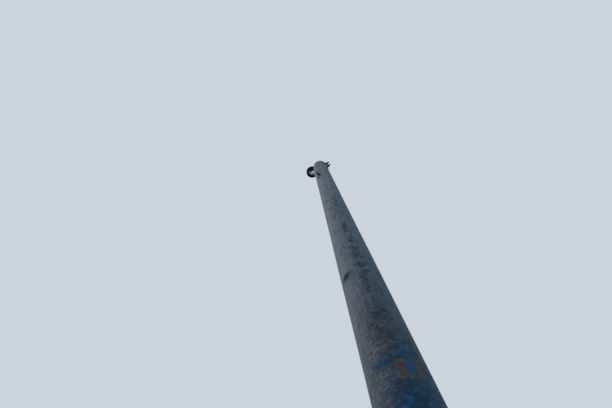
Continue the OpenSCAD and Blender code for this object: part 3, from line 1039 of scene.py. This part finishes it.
    def sawn_top(self):
        """The sawn top has growth rings, and cracks that run out from the heart, painted dark inside as
        shade.
        """
        wires = self.wires
        off_centre = (self.tone - 0.5) * 0.006 + (self.blotch - 0.5) * 0.0012
        year = (self.core + off_centre) / YEAR_RING
        uneven = wires.noise(wires.vector(0.0, 0.0, year), *NOISES["uneven years"]) * 6.0
        growth = wires.ramp(((year + uneven) * (2 * math.pi)).calc("SINE"), -0.8, 0.9)
        sawn = wires.mix(growth * 0.38, PALE_END_GRAIN, DARK_END_GRAIN)
        sawn = wires.mix(self.blotch * 0.35, sawn, END_BLOTCH)
        away = self.core.calc("MAXIMUM", 0.001)
        ray = wires.vector(self.x / away, self.y / away, self.core * 5.0)
        crack = self.cracks(ray, "end cracks", 0.003, 0.013) * wires.ramp(self.core, 0.004, 0.02)
        crack = crack * wires.ramp(self.core, 0.055, 0.076, 1.0, 0.35)
        # The cracks are painted dark as shade
        sawn = wires.mix(crack * 0.85, sawn, END_CRACK_SHADE)
        self.colour = wires.mix(self.end_face, self.colour, sawn)
        self.end_relief = growth * YEAR_RELIEF - crack * END_CRACK_DEPTH

    def splashes(self):
        """Damp and splashed soil just above the ground line."""
        splash = self.wires.ramp(self.level + (self.tone - 0.5) * 0.22, 0.04, 0.42, 0.60, 0.0)
        self.lay(splash, SPLASHED_SOIL)

    def finish(self):
        """The material, with every layer linked to its shader."""
        wires = self.wires
        rough = wires.ramp(self.grain + self.blotch, 0.2, 1.6, 0.94, 0.80) - self.paint * 0.12
        side = self.grain * GRAIN_RELIEF + self.pattern("streaks") * STREAK_RELIEF
        side = side - self.blotch * BLOTCH_DEPTH - self.hair * HAIR_DEPTH
        side = side - self.crossed * CROSS_MARK_DEPTH + self.paint * PAINT_RELIEF
        end = wires.ramp(self.end_face, 0.0, 1.0, smooth=False)
        relief = side * (1.0 - end) + self.end_relief * end
        surface(wires, self.shader, self.colour, rough, relief, 0.9)
        self.shader.inputs["Specular IOR Level"].default_value = 0.12
        return self.material


def wood_material():
    """Silver-grey weathered pole wood, with checks, knots, stains and old paint."""
    wood = WoodFinish()
    wood.bare_wood()
    wood.painted_shade_and_light()
    wood.stains()
    wood.scuffs()
    wood.hair_checks()
    wood.large_checks()
    wood.knots()
    wood.old_paint()
    wood.sawn_top()
    wood.splashes()
    return wood.finish()


def dust_group():
    """Dust that has settled on what faces up, broken up by noise."""
    wires = new_group(
        "settled dust",
        "ShaderNodeTree",
        [("Place", "NodeSocketVector", None)] + numbers(Amount=0.5, Size=0.01),
        [("Mask", "NodeSocketFloat")],
    )
    normal = wires.get(wires.node("ShaderNodeNewGeometry"), "Normal")
    _, _, up = wires.parts(normal)
    cloud = wires.noise(wires.given("Place"), wires.given("Size"), seed=21.0, detail=4.0, rough=0.6)
    level = wires.ramp(up, -0.3, 0.9, 0.15, 1.0)
    wires.hand_out(Mask=level * wires.ramp(cloud, 0.34, 0.66) * wires.given("Amount"))
    return wires.tree


def zinc_group():
    """Zinc coating: crystal spangle, dull patina and the rust that comes through it."""
    wires = new_group(
        "zinc coating",
        "ShaderNodeTree",
        [
            ("Place", "NodeSocketVector", None),
            ("Bright", "NodeSocketColor", (0.5, 0.5, 0.5, 1.0)),
            ("Dull", "NodeSocketColor", (0.3, 0.3, 0.3, 1.0)),
        ]
        + numbers(Rust=0.3, Seed=0.0),
        [
            ("Color", "NodeSocketColor"),
            ("Roughness", "NodeSocketFloat"),
            ("Metallic", "NodeSocketFloat"),
            ("Height", "NodeSocketFloat"),
        ],
    )
    place = wires.given("Place")
    seed = wires.given("Seed")
    crystal_place = wires.stretched(place, 0.0042, seed=seed)
    crystals = wires.node("ShaderNodeTexVoronoi", Vector=crystal_place, Scale=1.0)
    spangle, _, _ = wires.parts(wires.get(crystals, "Color"))
    patina = wires.ramp(wires.noise(place, 0.012, seed=seed, detail=4.0, rough=0.6), 0.36, 0.64)
    colour = wires.mix(patina, wires.given("Bright"), wires.given("Dull"))
    colour = wires.mix(spangle * 0.20, colour, wires.given("Dull"))
    pits = wires.noise(place, 0.006, seed=seed + 3.0, detail=5.0, rough=0.7)
    rust = wires.ramp(pits + wires.given("Rust") * 0.5, 0.62, 0.80)
    tint = wires.ramp(wires.noise(place, 0.002, seed=seed + 5.0), 0.35, 0.65)
    rust_colour = wires.mix(tint, DARK_RUST, BRIGHT_RUST)
    wires.hand_out(
        Color=wires.mix(rust, colour, rust_colour),
        Roughness=wires.ramp(patina, 0.0, 1.0, 0.42, 0.62) + rust * 0.28,
        Metallic=(1.0 - rust) * 0.55,
        Height=pits * PIT_RELIEF + rust * RUST_RELIEF - spangle * SPANGLE_DEPTH,
    )
    return wires.tree


def object_place(wires):
    """A place in the object's own metres."""
    return wires.get(wires.node("ShaderNodeTexCoord"), "Object")


def zinc_material(name, bright, dull, rust, seed, dust):
    """Galvanised steel as it has weathered."""
    material, wires, shader = new_material(name)
    place = object_place(wires)
    coating = wires.use(zinc_coating, Place=place, Bright=bright, Dull=dull, Rust=rust, Seed=seed)
    settled = wires.get(wires.use(settled_dust, Place=place, Amount=dust, Size=0.006))
    colour = wires.mix(settled, wires.get(coating, "Color"), METAL_DUST)
    rough = wires.get(coating, "Roughness") + settled * 0.2
    surface(wires, shader, colour, rough, wires.get(coating, "Height"))
    plug(wires.tree, wires.get(coating, "Metallic") * (1.0 - settled), shader.inputs["Metallic"])
    return material


def lead_material():
    """Soft lead with a pale bloom in its hollows."""
    material, wires, shader = new_material("dull_lead")
    place = object_place(wires)
    bloom = wires.ramp(wires.noise(place, 0.0045, detail=4.0, rough=0.6), 0.38, 0.64)
    scuff = wires.ramp(wires.noise(place, 0.0014, seed=2.0), 0.52, 0.68)
    colour = wires.mix(bloom, LEAD_GREY, LEAD_BLOOM)
    colour = wires.mix(scuff * 0.5, colour, LEAD_SCUFF)
    rough = wires.ramp(bloom, 0.0, 1.0, 0.48, 0.78)
    surface(wires, shader, colour, rough, bloom * BLOOM_RELIEF - scuff * LEAD_SCUFF_DEPTH)
    shader.inputs["Metallic"].default_value = 0.35
    return material


def bare_rim_and_highlight(wires, place):
    """Where the rim of the bell's petticoat is unglazed and chalky, most on its outer side as a painted
    highlight.
    """
    low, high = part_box("pin_insulator")
    x, y, z = wires.parts(place)
    x = x - (low.x + high.x) / 2
    y = y - (low.y + high.y) / 2
    core = diagonal(x, y)
    bearing = math.radians(VIEWER_TURN + BARE_RIM_HIGHLIGHT_TURN)
    side = (x * math.cos(bearing) + y * math.sin(bearing)) / core.calc("MAXIMUM", 0.001)
    patchy = wires.ramp(wires.noise(place, 0.011, seed=6.0, detail=3.0, rough=0.6), 0.22, 0.52)
    round_pin = wires.ramp(core, BARE_RIM_RADIUS - BARE_RIM_BLUR, BARE_RIM_RADIUS, 1.0, 0.0)
    under = wires.ramp(z, low.z + BARE_RIM_LOW, low.z + BARE_RIM_HIGH, 1.0, 0.0)
    return round_pin * under * wires.ramp(side, 0.15, 0.90) * patchy


def glaze_material():
    """Dark brown porcelain glaze, redder in places, under dust, and gone from the bell's inner rim, which
    is pale on one side as a painted highlight.
    """
    material, wires, shader = new_material("brown_glaze")
    place = object_place(wires)
    cloud = wires.ramp(wires.noise(place, 0.022, detail=3.0), 0.36, 0.64)
    speck = wires.ramp(wires.noise(place, 0.0011, seed=3.0, detail=1.0), 0.68, 0.76)
    settled = wires.get(wires.use(settled_dust, Place=place, Amount=0.60, Size=0.018))
    colour = wires.mix(cloud, BLACK_GLAZE, BROWN_GLAZE)
    colour = wires.mix(speck * 0.5, colour, GLAZE_SPECK)
    colour = wires.mix(settled * 0.45, colour, GLAZE_DUST)
    # The pale unglazed rim is kept to one side of the bell as a painted highlight
    bare = bare_rim_and_highlight(wires, place)
    colour = wires.mix(bare * 0.92, colour, BARE_PORCELAIN_HIGHLIGHT)
    rough = wires.ramp(cloud, 0.0, 1.0, 0.10, 0.18) + settled * 0.35 + bare * 0.60
    ripple = wires.noise(place, 0.008, seed=5.0, detail=1.0)
    surface(wires, shader, colour, rough, ripple * RIPPLE_RELIEF + settled * DUST_RELIEF, 0.5)
    return material


def dress_frame_nodes():
    """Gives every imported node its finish."""
    finishes = {
        "pole_shaft": wood,
        "pole_top_pin": zinc["galvanised_steel"],
        "pin_thread_sleeve": lead,
        "pin_insulator": glaze,
        "spool_insulator": glaze,
    }
    for name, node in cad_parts.items():
        if name.endswith(("_bolt", "nut")):
            finish = zinc["rusty_galvanised"]
        else:
            finish = finishes.get(name, zinc["weathered_galvanised"])
        node.data.materials.clear()
        node.data.materials.append(finish)


def smooth_copy(name, node_name):
    """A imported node's mesh with its seams closed and its curves shaded smooth, in place of the node."""
    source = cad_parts[node_name].data
    shape = bmesh.new()
    shape.from_mesh(source)
    bmesh.ops.remove_doubles(shape, verts=shape.verts, dist=SEAM_GAP)
    for edge in shape.edges:
        edge.smooth = edge.calc_face_angle(0.0) < math.radians(CREASE)
    for face in shape.faces:
        face.smooth = True
    mesh = bpy.data.meshes.new(name)
    shape.to_mesh(mesh)
    shape.free()
    mesh.materials.append(source.materials[0])
    piece = bpy.data.objects.new(name, mesh)
    bpy.context.scene.collection.objects.link(piece)
    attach(piece, "root")
    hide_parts(node_name)


def reach(name, direction):
    """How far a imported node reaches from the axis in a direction."""
    return max(corner.co.dot(direction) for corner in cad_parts[name].data.vertices)


def thread_tree(steel):
    """A screw thread round a bolt that lies along a bearing."""
    wires = new_group(
        "bolt thread",
        "GeometryNodeTree",
        numbers(Bearing=0.0, Height=7.0, Start=0.1, Length=0.015)
        + numbers(Bolt_Radius=BOLT_RADIUS, Pitch=THREAD_PITCH, Ridge=THREAD_RIDGE),
        [("Geometry", "NodeSocketGeometry")],
    )
    radius = wires.given("Bolt Radius")
    length = wires.given("Length")
    spiral = wires.node(
        "GeometryNodeCurveSpiral",
        Resolution=28,
        Rotations=length / wires.given("Pitch"),
        Start_Radius=radius,
        End_Radius=radius,
        Height=length,
    )
    ridge = wires.node(
        "GeometryNodeCurvePrimitiveCircle",
        {"mode": "RADIUS"},
        Resolution=4,
        Radius=wires.given("Ridge"),
    )
    swept = wires.node(
        "GeometryNodeCurveToMesh",
        Curve=wires.get(spiral, "Curve"),
        Profile_Curve=wires.get(ridge, "Curve"),
        Fill_Caps=True,
    )
    # The spiral climbs +Z: it is laid down towards +X, turned to its bearing and lifted to its bolt
    bearing = wires.given("Bearing").calc("RADIANS")
    placed = wires.node(
        "GeometryNodeTransform",
        Geometry=wires.get(swept, "Mesh"),
        Translation=wires.swung(bearing, wires.given("Start"), wires.given("Height")),
        Rotation=wires.vector(0.0, math.pi / 2, bearing),
    )
    real = wires.node("GeometryNodeRealizeInstances", Geometry=wires.get(placed))
    painted = wires.node("GeometryNodeSetMaterial", Geometry=wires.get(real), Material=steel)
    wires.hand_out(Geometry=wires.get(painted))
    return wires.tree


def make_threads():
    """The screw threads that stand out past the locknuts."""
    tree = thread_tree(zinc["rusty_galvanised"])
    for stem, bearing in THREADED_BOLTS.items():
        low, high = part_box(f"{stem}_locknut")
        turn = math.radians(bearing)
        direction = Vector((math.cos(turn), math.sin(turn), 0.0))
        start = reach(f"{stem}_locknut", direction)
        thread = grown(
            f"{stem}_thread",
            tree,
            Bearing=bearing,
            Height=(low.z + high.z) / 2,
            Start=start,
            Length=reach(f"{stem}_bolt", direction) - start - BOLT_BEVEL,
        )
        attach(thread, "root")


def make_log():
    """The log, in place of the plain shaft."""
    _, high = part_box("pole_shaft")
    shaft = grown("weathered_shaft", LogShape().finish(wood), Height=high.z, Ground_Radius=high.x)
    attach(shaft, "root")
    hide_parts("pole_shaft")


def make_insulators_and_pin():
    """The turned, cast and forged parts, shaded as the smooth shapes that they are."""
    smooth_copy("glazed_bell", "pin_insulator")
    smooth_copy("glazed_spool", "spool_insulator")
    smooth_copy("cast_sleeve", "pin_thread_sleeve")
    smooth_copy("forged_pin", "pole_top_pin")


def make_floor():
    """A wide pale floor at the ground line."""
    bpy.ops.mesh.primitive_plane_add(size=FLOOR_SIZE, location=(0.0, 0.0, 0.0))
    floor = bpy.context.object
    floor.name = "floor"
    pale, _, shader = new_material("pale_floor")
    shader.inputs["Base Color"].default_value = (*PALE_FLOOR, 1.0)
    shader.inputs["Roughness"].default_value = 0.9
    floor.data.materials.append(pale)


def make_world():
    """Soft light from all round, and a plain pale background."""
    world = bpy.data.worlds.new("studio")
    bpy.context.scene.world = world
    world.use_nodes = True
    tree = world.node_tree
    wires = Wiring(tree)
    path = tree.nodes.new("ShaderNodeLightPath")
    rays = [Formula(tree, path.outputs[name]) for name in BACKDROP_RAYS]
    colour = wires.mix(wires.fold("MAXIMUM", rays), AMBIENT, BACKDROP)
    plug(tree, colour, tree.nodes["Background"].inputs["Color"])


def make_lamps():
    """A broad soft key from the left of the picture, and a weak cool fill from the right."""
    for name, (energy, spread, colour, turn, rise) in LAMPS.items():
        light = bpy.data.lights.new(name, "SUN")
        light.energy = energy
        light.angle = math.radians(spread)
        light.color = colour
        lamp = bpy.data.objects.new(name, light)
        bpy.context.scene.collection.objects.link(lamp)
        bearing = math.radians(VIEWER_TURN + turn)
        towards = Vector((math.cos(bearing), math.sin(bearing), rise))
        lamp.rotation_mode = "QUATERNION"
        lamp.rotation_quaternion = towards.to_track_quat("Z", "Y")


def make_camera():
    """The photograph's view, from beside the pole and looking up it."""
    data = bpy.data.cameras.new("photo_view")
    data.sensor_width = SENSOR_WIDTH
    data.lens = FOCAL_PIXELS / PHOTO_WIDTH * SENSOR_WIDTH
    data.clip_start = 0.02
    data.clip_end = 600.0
    camera = bpy.data.objects.new("photo_view", data)
    bpy.context.scene.collection.objects.link(camera)
    heading = Matrix.Rotation(math.radians(EYE_HEADING), 4, "Z")
    tilt = Matrix.Rotation(math.radians(90.0 + EYE_TILT), 4, "X")
    roll = Matrix.Rotation(math.radians(EYE_ROLL), 4, "Z")
    camera.matrix_world = Matrix.Translation(EYE) @ heading @ tilt @ roll
    bpy.context.scene.camera = camera


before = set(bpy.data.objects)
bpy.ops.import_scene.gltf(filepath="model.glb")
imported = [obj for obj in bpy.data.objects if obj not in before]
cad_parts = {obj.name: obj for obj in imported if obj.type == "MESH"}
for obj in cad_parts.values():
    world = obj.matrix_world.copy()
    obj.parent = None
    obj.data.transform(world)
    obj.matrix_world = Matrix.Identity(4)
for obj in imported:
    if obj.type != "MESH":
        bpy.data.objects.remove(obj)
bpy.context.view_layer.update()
make_camera()
make_world()
make_lamps()
make_floor()
bpy.context.scene.view_settings.view_transform = "Standard"

mottle_patches = mottle_group()
settled_dust = dust_group()
zinc_coating = zinc_group()
wood = wood_material()
zinc = {name: zinc_material(name, *finish) for name, finish in ZINC_FINISHES.items()}
lead = lead_material()
glaze = glaze_material()
dress_frame_nodes()
make_log()
make_threads()
make_insulators_and_pin()
